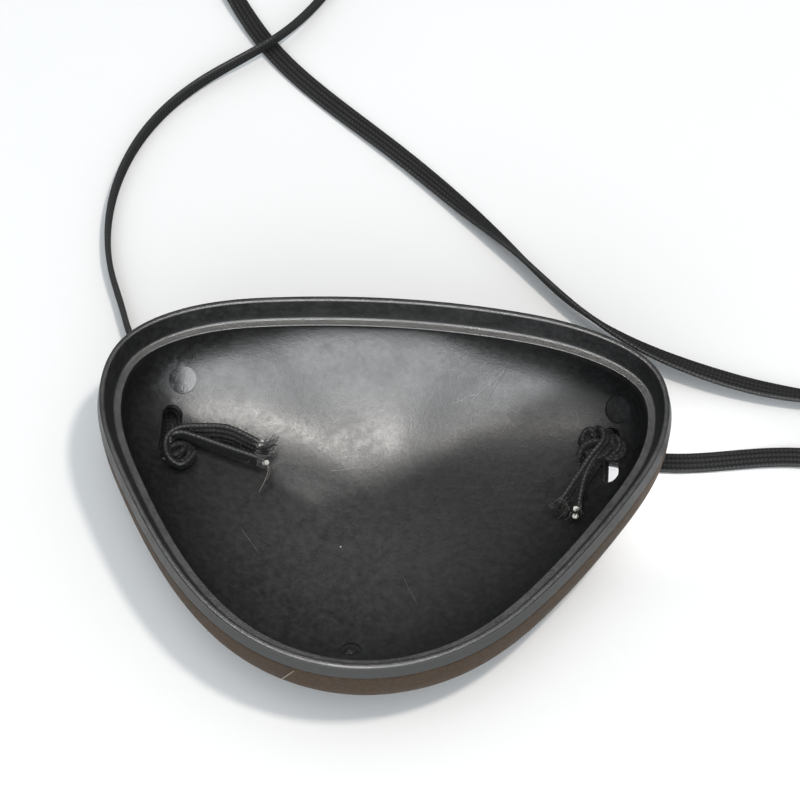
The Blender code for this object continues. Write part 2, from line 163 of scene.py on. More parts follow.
RIGHT_LEFT_STRIP = [
    (30.3, 14.3, 6.5, 90), (30.6, 15.2, 7.1, 92), (31.2, 15.4, 7.5, 94), (31.8, 14.7, 7.7, 92),
    (31.9, 13.7, 7.8, 86), (31.5, 12.8, 7.8, 76), (30.8, 11.9, 7.7, 66), (29.7, 10.3, 7.5, 60),
    (28.7, 8.4, 7.3, 60), (27.7, 6.6, 7.2, 62), (26.8, 4.9, 7.1, 64), (26.2, 3.9, 7.0, 66)]
RIGHT_RIGHT_STRIP = [
    (32.2, 12.9, 6.9, 100), (31.4, 11.4, 7.2, 108), (30.5, 9.6, 7.3, 114), (29.8, 7.9, 7.3, 116),
    (29.4, 6.4, 7.2, 116), (29.2, 5.1, 7.2, 116), (29.0, 3.7, 7.1, 114), (28.9, 2.4, 7.0, 112)]
RIGHT_FOLDS = {
    "arch": [(28.5, 10.6, 6.5, 96), (28.6, 11.5, 7.0, 96), (29.1, 12.4, 7.3, 94), (30.1, 13.0, 7.6, 92),
        (31.2, 13.1, 7.7, 90), (32.3, 12.6, 7.3, 90)],
    "loop": [(29.3, 13.1, 6.1, 92), (28.9, 14.0, 6.6, 94), (29.2, 14.9, 7.0, 96), (30.0, 15.2, 7.2, 96),
        (30.6, 14.6, 7.1, 94), (30.5, 13.8, 6.6, 92)],
    "bridge": [(31.8, 15.3, 6.5, 90), (32.4, 14.6, 7.0, 90), (32.5, 13.8, 7.2, 88), (32.2, 12.9, 7.1, 86)],
    "lobe": [(32.7, 14.2, 6.5, 104), (33.5, 14.4, 7.0, 106), (34.2, 13.8, 7.3, 106),
        (34.4, 12.8, 7.2, 104), (33.9, 11.9, 6.9, 100), (33.0, 11.5, 6.5, 96)],
    "corner": [(33.6, 13.2, 6.4, 100), (34.4, 12.3, 6.6, 102), (34.6, 11.2, 6.5, 102),
        (34.0, 10.5, 6.1, 100)],
    "under": [(30.4, 10.3, 6.5, 92), (31.3, 10.8, 6.9, 90), (32.2, 11.2, 7.0, 88), (32.9, 12.0, 7.1, 90),
        (33.6, 12.5, 6.8, 92)]}
FOLD_WIDTH = 2.5
# Flat coils inside the knots: middle x, y, height, radius of the strip's centreline in mm.
KNOT_COILS = {"left": [(-29.5, 7.9, 4.9, 1.2)],
              "right": [(30.9, 13.2, 5.3, 1.2), (33.3, 12.4, 5.9, 1.1)]}
COIL_WIDTH = 2.2
COIL_TURN = 2.2 * math.pi
COIL_RISE = 0.05  # for each radian of its turn

# Yarns that fray out of each cut end: strip, how many, longest reach, and their lean in mm.
YARNS = {"left": [(LEFT_FAR_STRIP, 90, 2.7, (0.3, 1.1, 0.2)),
                  (LEFT_NEAR_STRIP, 50, 1.5, (0.3, 0.0, -0.2))],
         "right": [(RIGHT_LEFT_STRIP, 70, 2.0, (-0.6, -0.2, 0.4)),
                   (RIGHT_RIGHT_STRIP, 45, 1.6, (-0.2, -0.2, 0.5))]}
YARN_RADIUS = {"left": (0.05, 0.1), "right": (0.05, 0.09)}
YARN_TIP = 0.6  # share of its radius that a thread keeps at its tip
# Short hairs along each strip: how many, and the share of its length that they start from.
FUZZ = {"left": [(LEFT_FAR_STRIP, 520, 0.45), (LEFT_NEAR_STRIP, 60, 0.3)],
        "right": [(RIGHT_LEFT_STRIP, 90, 0.5), (RIGHT_RIGHT_STRIP, 70, 0.3)]}
SEEDS = {"left": 21, "right": 33}
# Rubber strands that stand up out of the cut ends, x, y, height in mm.
RUBBER_STRANDS = {
    "left": [[(-18.0, 9.75, 6.1), (-17.8, 9.85, 6.3), (-17.6, 9.9, 6.7)],
        [(-17.1, 7.0, 5.9), (-16.9, 6.85, 6.1), (-16.7, 6.75, 6.5)]],
    "right": [[(28.55, 2.4, 6.3), (28.4, 2.15, 6.5), (28.3, 2.0, 6.9)],
        [(28.45, 1.25, 6.1), (28.35, 1.05, 6.3), (28.25, 0.9, 6.7)]]}
RUBBER_RADIUS = 0.42
RUBBER_TIP = 0.85
# Brown strands that hang from the left ends: route and radius.
DROOPING_STRANDS = [([(-17.4, 7.3, 6.3), (-16.5, 6.2, 6.1), (-16.7, 4.9, 5.2), (-17.6, 3.1, 4.2)], 0.19),
                    ([(-17.3, 7.1, 6.2), (-16.2, 6.0, 6.2), (-16.6, 4.6, 5.0)], 0.13)]
# Hair on the near side: x and height of each of its points, and how far it lies from the lip.
HAIR = [(-11.3, 9.8), (-10.7, 11.2), (-10.1, 12.6), (-9.5, 13.9)]
HAIR_OFFSET = COVER_EDGE + 0.18
HAIR_RADIUS = 0.06


# --- Curves and outlines ---
CURVE_STEPS = 40  # between two given points of a smooth curve
SECTION_STEPS = 4000  # along a dome's section, to space its rings evenly
FILLET_STEPS = 4


def spline_second_derivatives(points, steps, closed):
    """Second derivatives of the cubic spline with continuous curvature through the points."""
    count = len(points)
    system = np.eye(count)
    right = np.zeros_like(points)
    for i in range(0 if closed else 1, count if closed else count - 1):
        before, after = steps[i - 1], steps[i]
        following = (i + 1) % count
        system[i] = 0
        system[i, i - 1] += before / 6
        system[i, i] += (before + after) / 3
        system[i, following] += after / 6
        right[i] = (points[following] - points[i]) / after - (points[i] - points[i - 1]) / before
    return np.linalg.solve(system, right)


def smooth_curve(points, count, closed=False):
    """count points, evenly spaced along the smooth curve through the given points.

    Columns after the third, such as a tilt, are carried along and don't count as distance.
    """
    points = np.array(points, dtype=float)
    ahead = np.roll(points, -1, axis=0)
    spans = len(points) if closed else len(points) - 1
    steps = np.linalg.norm((ahead - points)[:, :3], axis=1)
    bends = spline_second_derivatives(points, steps, closed)
    dense = []
    for i in range(spans):
        j = (i + 1) % len(points)
        for part in range(CURVE_STEPS):
            b = part / CURVE_STEPS
            a = 1 - b
            square = steps[i] ** 2 / 6
            dense.append(a * points[i] + b * points[j]
                         + ((a ** 3 - a) * bends[i] + (b ** 3 - b) * bends[j]) * square)
    dense.append(points[0] if closed else points[-1])
    dense = np.array(dense)
    hops = np.linalg.norm(np.diff(dense[:, :3], axis=0), axis=1)
    travel = np.concatenate([[0], np.cumsum(hops)])
    wanted = np.linspace(0, travel[-1], count + 1 if closed else count)
    even = np.stack([np.interp(wanted, travel, column) for column in dense.T], axis=1)
    return even[:-1] if closed else even


def unit(rows):
    return rows / np.linalg.norm(rows, axis=1)[:, None]


def lip_outline():
    """The lip's outer edge as points round the origin, centred on its own box."""
    ring = smooth_curve(OUTLINE, SEGMENTS, closed=True)
    return ring - (ring.max(axis=0) + ring.min(axis=0)) / 2


def area_centre(ring):
    ahead = np.roll(ring, -1, axis=0)
    cross = ring[:, 0] * ahead[:, 1] - ahead[:, 0] * ring[:, 1]
    return ((ring + ahead) * cross[:, None]).sum(axis=0) / (3 * cross.sum())


def offset_ring(ring, distance):
    """The ring moved outward by distance, along its own normals."""
    along = unit(np.roll(ring, -1, axis=0) - np.roll(ring, 1, axis=0))
    outward = np.stack([along[:, 1], -along[:, 0]], axis=1)
    return ring + outward * distance


LIP = lip_outline()
DOME_CENTRE = area_centre(LIP)


def level_ring(offset, height):
    ring = offset_ring(LIP, offset)
    return np.column_stack([ring, np.full(len(ring), height)])


def dome_depth(share, bearing):
    """Share of the dome's depth reached at a share of the way from its middle to its edge.

    The section is boxy towards the point and the two ends, and open towards the flatter edge.
    """
    facing = np.cos(bearing - BROW_BEARING)
    open_share = np.clip((facing - BROW_FROM) / (1 - BROW_FROM), 0, 1)
    open_share = open_share ** 2 * (3 - 2 * open_share)
    inner = DOME_FULLNESS + (BROW_FULLNESS - DOME_FULLNESS) * open_share
    outer = DOME_FULLNESS + (BROW_EDGE - DOME_FULLNESS) * open_share
    return (1 - share ** inner) ** (1 / outer)


def dome_rings(dome):
    """Rings from the dome's edge in towards its middle, evenly spaced along its section."""
    offset, top, bottom = dome
    spokes = offset_ring(LIP, offset) - DOME_CENTRE
    bearings = np.arctan2(spokes[:, 1], spokes[:, 0])
    angles = np.linspace(0, math.pi / 2, SECTION_STEPS + 1)
    shares = np.cos(angles) ** (2 / DOME_FULLNESS)
    depths = np.sin(angles) ** (2 / DOME_FULLNESS)
    reach = np.linalg.norm(spokes, axis=1).mean()
    hops = np.hypot(np.diff(shares) * reach, np.diff(depths) * (top - bottom))
    travel = np.concatenate([[0], np.cumsum(hops)])
    rings = []
    for step in range(DOME_STEPS):
        share = np.interp(travel[-1] * step / DOME_STEPS, travel, shares)
        heights = top - (top - bottom) * dome_depth(share, bearings)
        rings.append(np.column_stack([DOME_CENTRE + spokes * share, heights]))
    return rings


def dome_height(x, y, dome):
    """Height of a dome above the floor at x, y."""
    offset, top, bottom = dome
    spokes = offset_ring(LIP, offset) - DOME_CENTRE
    bearings = np.unwrap(np.arctan2(spokes[:, 1], spokes[:, 0]))
    away = np.array([x, y]) - DOME_CENTRE
    bearing = math.atan2(away[1], away[0])
    while bearing < bearings[0]:
        bearing += 2 * math.pi
    reach = np.interp(bearing, np.append(bearings, bearings[0] + 2 * math.pi),
                      np.append(np.linalg.norm(spokes, axis=1), np.linalg.norm(spokes[0])))
    share = min(np.linalg.norm(away) / reach, 1.0)
    return top - (top - bottom) * dome_depth(share, bearing)


def cup_point(x, y):
    return Vector((x, y, dome_height(x, y, CUP)))


def wall_frame(x, y, half=1.0):
    """Matrix on the cup's wall: local Y along the wall, local Z out of it into the cup."""
    along = (cup_point(x, y + half) - cup_point(x, y - half)).normalized()
    across = cup_point(x + half, y) - cup_point(x - half, y)
    outward = across.cross(along).normalized()
    across = along.cross(outward)
    placed = Matrix((across, along, outward)).transposed().to_4x4()
    placed.translation = cup_point(x, y)
    return placed


def slot_frame(side):
    return wall_frame(*SLOTS[side], SLOT_LENGTH / 2)


# --- Marks and wear ---
LEFT_DISC = cup_point(-30.3, 19.7)
RIGHT_RECESS = cup_point(34.0, 18.8)
GATE_MARK = cup_point(-2.4, -21.2)
# Round marks in the cup: middle, radius, depth, and the rise from their foot's edge to its middle.
MARKS = [(LEFT_DISC, MARK_RADIUS, 0.14, -0.2), (RIGHT_RECESS, MARK_RADIUS, 0.26, 0.0),
         (GATE_MARK, 1.55, 0.16, 0.0)]
HAZE = cup_point(-8.0, -8.0)  # middle of the paler patch on the cup's floor
POLISH_POINT = (-8.0, 0.0)  # where the polished part of the cup comes to a point
POLISH_RISE = {"left": 0.65, "right": 0.61}  # of its edges, away from that point
POLISH_FADE = {"left": (-1.0, 4.0), "right": (-2.5, 9.0)}  # mm over which each edge fades
# Scratches: start and end as x, y, and width.
SCRATCHES = [((12.0, 19.5), (17.5, 24.0), 0.09), ((9.0, 19.0), (13.5, 20.8), 0.07),
             ((14.5, 20.0), (18.0, 25.0), 0.07), ((-20.0, -2.0), (-16.5, -6.5), 0.07),
             ((-8.0, 8.0), (-3.0, 9.2), 0.07), ((4.0, -8.0), (6.5, -13.0), 0.07)]


# --- Meshes ---
def add_object(name, mesh, material):
    item = bpy.data.objects.new(name, mesh)
    bpy.context.scene.collection.objects.link(item)
    if material:
        mesh.materials.append(material)
    return item


def smooth(mesh, angle=38):
    mesh.shade_smooth()
    mesh.set_sharp_from_angle(angle=math.radians(angle))


def mesh_from_bmesh(name, bm):
    bmesh.ops.recalc_face_normals(bm, faces=bm.faces)
    mesh = bpy.data.meshes.new(name)
    bm.to_mesh(mesh)
    bm.free()
    smooth(mesh)
    return mesh


def lofted_body(name, rings, first_middle, last_middle, material):
    """A closed body through the rings, in mm, with each end drawn in to a middle point."""
    bm = bmesh.new()
    loops = [[bm.verts.new(Vector(point) * MM) for point in ring] for ring in rings]
    count = len(rings[0])
    for low, high in zip(loops, loops[1:]):
        for i in range(count):
            j = (i + 1) % count
            bm.faces.new((low[i], low[j], high[j], high[i]))
    for loop, middle in ((loops[0], first_middle), (loops[-1], last_middle)):
        tip = bm.verts.new(Vector(middle) * MM)
        for i in range(count):
            bm.faces.new((loop[i], loop[(i + 1) % count], tip))
    return add_object(name, mesh_from_bmesh(name, bm), material)


def combine(target, other, operation):
    """Cuts other out of target, or joins it on, and removes other."""
    boolean = target.modifiers.new("shape", "BOOLEAN")
    boolean.operation = operation
    boolean.object = other
    depsgraph = bpy.context.evaluated_depsgraph_get()
    made = bpy.data.meshes.new_from_object(target.evaluated_get(depsgraph))
    target.modifiers.clear()
    target.data = made
    bpy.data.objects.remove(other, do_unlink=True)
    smooth(made)


def filleted(corners):
    """Section points through (offset, height, rounding) corners, rounded off with curves."""
    points = []
    for i, (x, y, rounding) in enumerate(corners):
        here = np.array([x, y])
        if not rounding:
            points.append(here)
            continue
        before = np.array(corners[i - 1][:2]) - here
        after = np.array(corners[i + 1][:2]) - here
        start = here + before / np.linalg.norm(before) * rounding
        end = here + after / np.linalg.norm(after) * rounding
        for step in range(FILLET_STEPS + 1):
            t = step / FILLET_STEPS
            points.append(start * (1 - t) ** 2 + here * 2 * t * (1 - t) + end * t ** 2)
    return points


def put_on_wall(item, placed):
    """Moves an item made round its own origin to a frame whose place is in mm."""
    item.matrix_world = Matrix.Translation(placed.translation * MM) @ placed.to_3x3().to_4x4()
    return item


# --- Shader graphs ---
class Graph:
    """A Principled material with short calls that add and link its nodes."""

    def __init__(self, name, **settings):
        self.material = bpy.data.materials.new(name)
        self.material.use_nodes = True
        self.tree = self.material.node_tree
        self.shader = self.tree.nodes["Principled BSDF"]
        for key, value in settings.items():
            self.shader.inputs[key.replace("_", " ")].default_value = value
        self.place = self.add("ShaderNodeTexCoord").outputs["Object"]

    def add(self, kind, inputs=None, **settings):
        node = self.tree.nodes.new(kind)
        for key, value in settings.items():
            setattr(node, key, value)
        for key, value in (inputs or {}).items():
            self.link(value, node.inputs[key])
        return node

    def link(self, value, socket):
        if isinstance(value, bpy.types.NodeSocket):
            self.tree.links.new(value, socket)
        else:
            socket.default_value = value

    def set(self, key, value):
        self.link(value, self.shader.inputs[key])

    def math(self, operation, a, b=0.0, c=0.0):
        return self.add("ShaderNodeMath", {0: a, 1: b, 2: c}, operation=operation).outputs[0]

    def noise(self, size, detail=3.0, roughness=0.55, distortion=0.0):
        """Noise with features of about size mm."""
        return self.add("ShaderNodeTexNoise",
                        {"Vector": self.place, "Scale": 1 / (size * MM), "Detail": detail,
                         "Roughness": roughness, "Distortion": distortion}).outputs["Fac"]

    def cells(self, size):
        """Node of random cells about size mm wide."""
        return self.add("ShaderNodeTexVoronoi", {"Vector": self.place, "Scale": 1 / (size * MM)})

    def between(self, value, low, high, start=0.0, end=1.0):
        """value mapped smoothly from low..high to start..end."""
        return self.add("ShaderNodeMapRange",
                        {"Value": value, "From Min": low, "From Max": high,
                         "To Min": start, "To Max": end},
                        interpolation_type="SMOOTHSTEP").outputs["Result"]

    def blend(self, factor, a, b):
        """Colour a where factor is 0 and b where it is 1."""
        a, b = ((*colour, 1.0) if isinstance(colour, tuple) else colour for colour in (a, b))
        return self.add("ShaderNodeMix", {0: factor, 6: a, 7: b}, data_type="RGBA").outputs[2]

    def bump(self, height, depth, strength=1.0, below=None):
        """Bump whose full height is depth mm."""
        inputs = {"Height": height, "Distance": depth * MM, "Strength": strength}
        if below:
            inputs["Normal"] = below
        return self.add("ShaderNodeBump", inputs).outputs["Normal"]

    def distance_to(self, point):
        """Distance in mm from a point given in mm."""
        node = self.add("ShaderNodeVectorMath", {0: self.place, 1: [v * MM for v in point]},
                        operation="DISTANCE")
        return self.math("MULTIPLY", node.outputs["Value"], 1 / MM)


# --- Materials ---
def line_mask(graph, start, end, width):
    """1 along a straight scratch from start to end, both x, y in mm, and 0 elsewhere."""
    start, end = Vector(start), Vector(end)
    middle = (start + end) / 2
    run = end - start
    turned = graph.add("ShaderNodeMapping",
                       {"Vector": graph.place, "Location": (middle.x * MM, middle.y * MM, 0),
                        "Rotation": (0, 0, math.atan2(run.y, run.x))},
                       vector_type="TEXTURE").outputs["Vector"]
    parts = graph.add("ShaderNodeSeparateXYZ", {"Vector": turned}).outputs
    wander = graph.math("MULTIPLY", graph.math("SUBTRACT", graph.noise(4.0, 2.0), 0.5), 0.5 * MM)
    aside = graph.math("ABSOLUTE", graph.math("ADD", parts["Y"], wander))
    lengthwise = graph.math("ABSOLUTE", parts["X"])
    thin = graph.between(aside, 0, width * MM, 1.0, 0.0)
    ends = graph.between(lengthwise, run.length * 0.3 * MM, run.length * 0.5 * MM, 1.0, 0.0)
    return graph.math("MULTIPLY", thin, ends)


def specks(graph, spacing, size, share):
    """1 inside small round specks, about spacing mm apart, on a share of their cells."""
    cells = graph.cells(spacing)
    inside = graph.between(cells.outputs["Distance"], 0.6 * size / spacing, size / spacing, 1.0, 0.0)
    chosen = graph.add("ShaderNodeSeparateColor", {"Color": cells.outputs["Color"]}).outputs["Red"]
    return graph.math("MULTIPLY", inside, graph.math("LESS_THAN", chosen, share))


def polish(graph):
    """1 on the worn, polished part of the cup and on the rim, 0 on the duller part below."""
    parts = graph.add("ShaderNodeSeparateXYZ", {"Vector": graph.place}).outputs
    wander = graph.math("MULTIPLY", graph.math("SUBTRACT", graph.noise(7.0), 0.5), 3.0 * MM)
    across = graph.math("SUBTRACT", parts["X"], POLISH_POINT[0] * MM)
    along = graph.math("ADD", graph.math("SUBTRACT", parts["Y"], POLISH_POINT[1] * MM), wander)
    inside = []
    for side, way in (("right", -1), ("left", 1)):
        edge = graph.math("MULTIPLY_ADD", across, way * POLISH_RISE[side], along)
        inside.append(graph.between(edge, *(reach * MM for reach in POLISH_FADE[side])))
    rim = graph.between(parts["Z"], (LEDGE_Z - 1.8) * MM, (LEDGE_Z - 0.6) * MM)
    return graph.math("MAXIMUM", graph.math("MINIMUM", *inside), rim)


def shell_material():
    """Satin black moulded plastic: fine grain, cloudy gloss, scuffs, scratches and dust."""
    graph = Graph("moulded_black")
    worn = polish(graph)
    graph.set("Specular IOR Level", graph.between(worn, 0, 1, 0.17, 0.56))
    cloud = graph.noise(6.0, 4.0, 0.6)
    mottle = graph.noise(0.9, 4.0, 0.65)
    grain = graph.noise(0.22, 3.0, 0.6)
    near_disc = graph.between(graph.distance_to(LEFT_DISC), 2.0, 5.5, 1.0, 0.0)
    polished = graph.between(graph.distance_to(LEFT_DISC), MARK_RADIUS - 0.2, MARK_RADIUS + 0.1,
                             1.0, 0.0)
    scuffed = graph.math("MULTIPLY", near_disc, graph.between(graph.noise(1.6, 5.0, 0.7), 0.52, 0.7))
    scratches = 0.0
    for start, end, width in SCRATCHES:
        scratches = graph.math("MAXIMUM", scratches, line_mask(graph, start, end, width))
    dust = specks(graph, 5.5, 0.16, 0.22)
    haze = graph.math("MULTIPLY", graph.between(graph.distance_to(HAZE), 6.0, 26.0, 1.0, 0.0),
                      graph.between(graph.noise(1.4, 5.0, 0.7), 0.3, 0.7))
    colour = graph.blend(graph.between(mottle, 0.35, 0.7), (0.0085, 0.0085, 0.009),
                         (0.0145, 0.0145, 0.015))
    colour = graph.blend(graph.math("MULTIPLY", haze, 0.09), colour, (0.2, 0.2, 0.195))
    colour = graph.blend(graph.math("MULTIPLY", scuffed, 0.35), colour, (0.22, 0.22, 0.23))
    colour = graph.blend(graph.math("MULTIPLY", scratches, 0.4), colour, (0.16, 0.16, 0.17))
    colour = graph.blend(dust, colour, (0.5, 0.48, 0.44))
    graph.set("Base Color", colour)
    gloss = graph.math("ADD", graph.between(cloud, 0.3, 0.7, 0.33, 0.43),
                       graph.between(mottle, 0.3, 0.75, -0.03, 0.07))
    gloss = graph.math("ADD", gloss, graph.between(worn, 0, 1, 0.06, 0.0))
    gloss = graph.math("SUBTRACT", gloss, graph.math("MULTIPLY", polished, 0.2))
    graph.set("Roughness", graph.math("ADD", gloss, graph.math("MULTIPLY", scuffed, 0.1)))
    relief = graph.bump(grain, 0.03, 0.7)
    relief = graph.bump(mottle, 0.06, 0.6, relief)
    relief = graph.bump(graph.math("ADD", scratches, graph.math("MULTIPLY", dust, 2.0)), 0.03, 0.6, relief)
    graph.set("Normal", relief)
    return graph.material


def slot_shade_mask(graph, side):
    """1 at a slot and on a narrow ring round it, where the cover is painted near black as shade, and 0
    away from it.
    """
    middle = slot_frame(side).translation
    half_width, half_length = ((size / 2 + 0.35) * MM for size in (SLOT_WIDTH, SLOT_LENGTH))
    scaled = graph.add("ShaderNodeMapping",
                       {"Vector": graph.place, "Location": (middle.x * MM, middle.y * MM, 0),
                        "Scale": (half_width, half_length, 1)},
                       vector_type="TEXTURE").outputs["Vector"]
    reach = graph.add("ShaderNodeVectorMath", {0: scaled}, operation="LENGTH").outputs["Value"]
    return graph.between(reach, 1.0, 1.12, 1.0, 0.0)


def cover_material():
    """Brown facing with a fine pebbled leather grain, painted near black as shade in and round its slots.
    """
    graph = Graph("brown_leather_facing", Specular_IOR_Level=0.12)
    cells = graph.cells(0.7)
    pebbles = graph.between(cells.outputs["Distance"], 0.05, 0.75, 1.0, 0.0)
    creases = graph.noise(2.4, 5.0, 0.6, distortion=0.4)
    fine = graph.noise(0.18, 3.0, 0.6)
    colour = graph.blend(graph.between(creases, 0.3, 0.72), (0.050, 0.030, 0.015), (0.078, 0.048, 0.025))
    colour = graph.blend(graph.between(pebbles, 0.15, 0.6, 0.45, 0.0), colour, (0.03, 0.017, 0.012))
    # painted shade: the cover's colour turns near black in each slot and on a narrow ring round it
    for side in ("left", "right"):
        colour = graph.blend(slot_shade_mask(graph, side), colour, (0.006, 0.006, 0.006))
    graph.set("Base Color", colour)
    graph.set("Roughness", graph.between(creases, 0.3, 0.75, 0.52, 0.68))
    relief = graph.bump(creases, 0.03, 0.5)
    relief = graph.bump(pebbles, 0.03, 0.6, relief)
    graph.set("Normal", graph.bump(fine, 0.012, 0.5, relief))
    return graph.material


STITCH_LENGTH = 0.62  # mm along the band
STITCH_SLANT = 6.5  # radians of a stitch's wave for each mm across its rib


def elastic_material():
    """Black braid: each rib is a column of small slanted stitches, with a little lint, and a painted
    highlight along the band's two edges.
    """
    graph = Graph("black_braid", Specular_IOR_Level=0.2, Sheen_Weight=0.05, Sheen_Roughness=0.35)
    lay = graph.add("ShaderNodeUVMap", uv_map="lay").outputs["UV"]
    parts = graph.add("ShaderNodeSeparateXYZ", {"Vector": lay}).outputs
    rib = graph.math("PINGPONG", parts["X"], BAND_WIDTH / RIBS / 2)
    phase = graph.math("ADD", graph.math("MULTIPLY", parts["Y"], 2 * math.pi / STITCH_LENGTH),
                       graph.math("MULTIPLY", rib, STITCH_SLANT))
    stitch = graph.between(graph.math("SINE", phase), -1.0, 1.0)
    fibre = graph.noise(0.09, 2.0, 0.6)
    lint = graph.noise(0.5, 4.0, 0.7)
    wear = graph.noise(14.0, 2.0)
    # painted highlight: the yarn's colour turns paler towards the band's two edges, where light catches
    # them
    edge = graph.between(graph.math("ABSOLUTE", graph.math("SUBTRACT", parts["X"], BAND_WIDTH / 2)),
                         BAND_WIDTH / 2 - 0.42, BAND_WIDTH / 2 - 0.1)
    yarn = graph.blend(graph.between(stitch, 0.1, 0.9), (0.003, 0.003, 0.0032), (0.008, 0.008, 0.0085))
    yarn = graph.blend(graph.between(wear, 0.35, 0.7, 0.0, 0.4), yarn, (0.012, 0.012, 0.0125))
    yarn = graph.blend(graph.math("MULTIPLY", edge, 0.55), yarn, (0.03, 0.03, 0.031))
    graph.set("Base Color", graph.blend(graph.between(lint, 0.66, 0.8, 0.0, 0.4), yarn,
                                        (0.045, 0.045, 0.047)))
    matt = graph.between(stitch, 0.0, 1.0, 0.85, 0.68)
    graph.set("Roughness", graph.math("SUBTRACT", matt, graph.math("MULTIPLY", edge, 0.3)))
    relief = graph.bump(stitch, 0.04, 0.7)
    graph.set("Normal", graph.bump(fibre, 0.03, 0.7, relief))
    return graph.material


def rubber_material():
    """Pale cut rubber strand, a little dirty."""
    graph = Graph("rubber_strand", Roughness=0.5, Subsurface_Weight=0.15,
                  Subsurface_Radius=(0.4 * MM, 0.35 * MM, 0.3 * MM))
    patches = graph.noise(0.3, 4.0, 0.6)
    graph.set("Base Color", graph.blend(graph.between(patches, 0.35, 0.7), (0.62, 0.6, 0.56),
                                        (0.36, 0.34, 0.31)))
    graph.set("Normal", graph.bump(patches, 0.08, 0.8))
    return graph.material


def thread_material(name, dark, pale):
    """Fine loose fibre that varies a little along its length."""
    graph = Graph(name, Roughness=0.55)
    graph.set("Base Color", graph.blend(graph.noise(0.8), dark, pale))
    graph.set("Normal", graph.bump(graph.noise(0.08), 0.01))
    return graph.material


# --- Patch ---
def slot_cutter(side):
    """Prism with round ends, square to the cup's wall, opening out at the cup's surface."""
    radius = SLOT_WIDTH / 2
    middle = SLOT_LENGTH / 2 - radius
    levels = [(-CUTTER_REACH, 0), (-0.9 * SLOT_CHAMFER, 0), (-0.35 * SLOT_CHAMFER, 0.3 * SLOT_CHAMFER),
              (0.35 * SLOT_CHAMFER, SLOT_CHAMFER), (CUTTER_REACH, 1.2 * SLOT_CHAMFER)]
    rings = []
    for height, grow in levels:
        ring = []
        for end in (1, -1):
            for step in range(SLOT_ARC_STEPS + 1):
                angle = math.pi * step / SLOT_ARC_STEPS
                ring.append((end * (radius + grow) * math.cos(angle),
                             end * (middle + (radius + grow) * math.sin(angle)), height))
        rings.append(ring)
    cutter = lofted_body("slot_cutter", rings, (0, 0, -CUTTER_REACH), (0, 0, CUTTER_REACH), None)
    return put_on_wall(cutter, slot_frame(side))


def recess_cutter(place, radius, depth, rise):
    """Round cutter square to the cup's wall at x, y, whose foot rises by rise to its middle."""
    shares = [step / MARK_RINGS for step in range(1, MARK_RINGS + 1)]
    levels = [(share, rise * (1 - share ** 2) - depth) for share in shares]
    turns = [2 * math.pi * i / MARK_SEGMENTS for i in range(MARK_SEGMENTS)]
    rings = []
    for share, height in levels + [(1, MARK_REACH)]:
        rings.append([(share * radius * math.cos(turn), share * radius * math.sin(turn), height)
                      for turn in turns])
    plug = lofted_body("plug", rings, (0, 0, rise - depth), (0, 0, MARK_REACH), None)
    return put_on_wall(plug, wall_frame(*place))


def lump(place, radius, height, sink, seed):
    """Rough broken nub on the cup's wall."""
    source = random.Random(seed)
    bm = bmesh.new()
    bmesh.ops.create_icosphere(bm, subdivisions=4, radius=1.0)
    waves = [(Vector([source.gauss(0, 1) for _ in range(3)]).normalized(), source.uniform(2, 7),
              source.uniform(0, 6)) for _ in range(9)]
    for vertex in bm.verts:
        rough = sum(math.sin(vertex.co.dot(way) * pitch + start) for way, pitch, start in waves)
        vertex.co *= 1 + 0.05 * rough
        vertex.co = Vector((vertex.co.x * radius, vertex.co.y * radius * 0.8,
                            vertex.co.z * height - sink)) * MM
    nub = add_object("nub", mesh_from_bmesh("nub", bm), None)
    return put_on_wall(nub, wall_frame(*place))


def make_shell(material):
    """The moulding: its back, the rim's section from the outside in, and the cup."""
    section = filleted([(RIM_FLARE - 0.3, RIM_FOOT_Z, 0), (RIM_FLARE, RIM_FOOT_Z, 0.12),
                        (-0.08, RIM_TOP - 0.62, 0.08), (0.02, RIM_TOP - 0.48, 0.05),
                        (0, RIM_TOP, 0.3), (-LIP_WIDTH, RIM_TOP, 0.24),
                        (WALL_FOOT, LEDGE_Z, 0.3), (CUP_EDGE, LEDGE_Z, 0.14), (*CUP[:2], 0)])
    rings = dome_rings(SHELL_BACK)[::-1]
    rings += [level_ring(offset, height) for offset, height in section[:-1]]
    rings += dome_rings(CUP)
    shell = lofted_body("shell_moulding", rings, (*DOME_CENTRE, SHELL_BACK[2]),
                        (*DOME_CENTRE, CUP[2]), material)
    for side in ("left", "right"):
        combine(shell, slot_cutter(side), "DIFFERENCE")
    for middle, radius, depth, rise in MARKS:
        combine(shell, recess_cutter(middle.xy, radius, depth, rise), "DIFFERENCE")
    combine(shell, lump(GATE_MARK.xy, radius=0.95, height=0.42, sink=0.2, seed=5), "UNION")
    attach(shell, "patch")
    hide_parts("shell")


def make_cover(material):
    """The facing over the moulding's back, with a rounded upper edge."""
    arc = [(COVER_EDGE - COVER_ROUNDING * (1 - math.cos(turn)),
            COVER_TOP - COVER_ROUNDING * (1 - math.sin(turn)))
           for turn in (math.pi / 8 * step for step in range(1, 5))]
    rings = dome_rings(COVER_FRONT)[::-1]
    rings += [level_ring(offset, height) for offset, height in arc]
    rings += dome_rings(COVER_BACK)
    cover = lofted_body("leather_cover", rings, (*DOME_CENTRE, COVER_FRONT[2]),
                        (*DOME_CENTRE, COVER_BACK[2]), material)
    for side in ("left", "right"):
        combine(cover, slot_cutter(side), "DIFFERENCE")
    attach(cover, "patch")
    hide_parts("outer_cover")


# --- Elastic ---
def ribbon_sides(path, tilts):
    """Unit directions across a band, which lies level at tilt 0 and on its edge at 90."""
    along = unit(np.gradient(path, axis=0))
    level = unit(np.cross(along, (0, 0, 1)))
    up = np.cross(level, along)
    turn = np.radians(tilts)[:, None]
    return level * np.cos(turn) + up * np.sin(turn)


